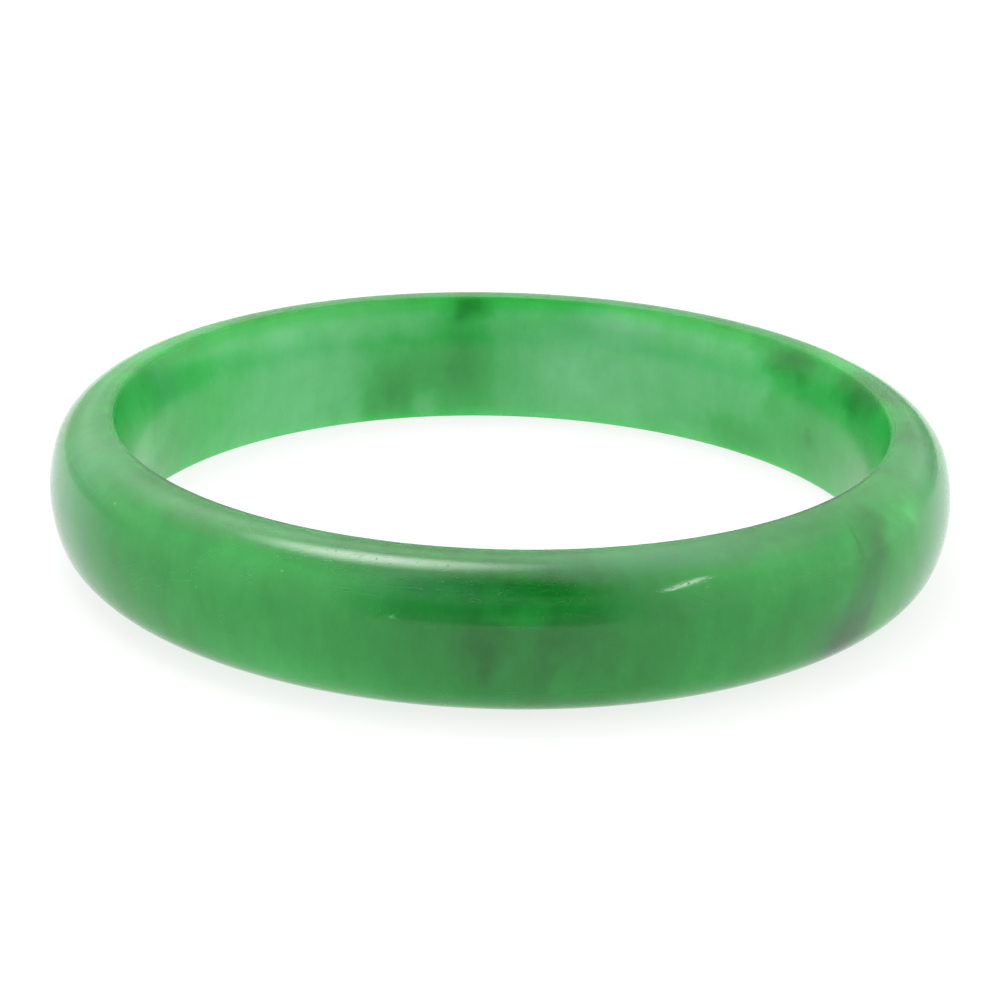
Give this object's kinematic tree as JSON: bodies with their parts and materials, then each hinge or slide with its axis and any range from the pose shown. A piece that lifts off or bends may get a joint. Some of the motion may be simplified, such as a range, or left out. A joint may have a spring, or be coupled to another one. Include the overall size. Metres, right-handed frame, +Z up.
{
  "type": "bangle bracelet",
  "caption": "Closed stone bangle with a crowned outside, narrow flat rims and a slightly bowed bore, worn over the hand on a wrist.",
  "frame": {"origin": "middle of the lower rim's plane, on the ring's axis, where the bangle rests on a table", "axes": "+Z up along the ring's axis; the ring is the same all round, so +X and +Y are free"},
  "size_m": [0.0688, 0.0688, 0.011],
  "materials": {
    "jade": "polished, slightly translucent, mottled green"
  },
  "bodies": {
    "root": {"bangle_ring": "jade"}
  },
  "joints": []
}
